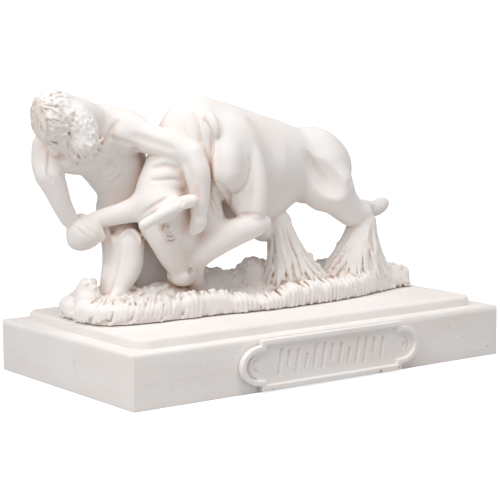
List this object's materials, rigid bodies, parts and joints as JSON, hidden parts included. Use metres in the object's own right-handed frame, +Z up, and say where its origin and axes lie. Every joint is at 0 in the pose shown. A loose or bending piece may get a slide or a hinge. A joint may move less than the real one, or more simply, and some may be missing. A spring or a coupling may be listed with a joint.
{
  "type": "statuette of a hero wrestling a bull on a plinth",
  "caption": "Small cast statuette: a bearded hero seizes a charging bull by neck and horn, on grassy ground above a stepped plinth with a nameplate.",
  "frame": {"origin": "middle of the plinth's underside", "axes": "+X along the plinth, from the bull's head to its tail; -Y out of the front face with the nameplate; +Z up"},
  "size_m": [0.1528, 0.0861, 0.0955],
  "materials": {
    "figure_plaster": "matte",
    "plinth_plaster": "matte",
    "nameplate_plaster": "matte"
  },
  "bodies": {
    "root": {"plinth": "plinth_plaster", "nameplate": "nameplate_plaster", "statue_group": "figure_plaster"}
  },
  "joints": []
}
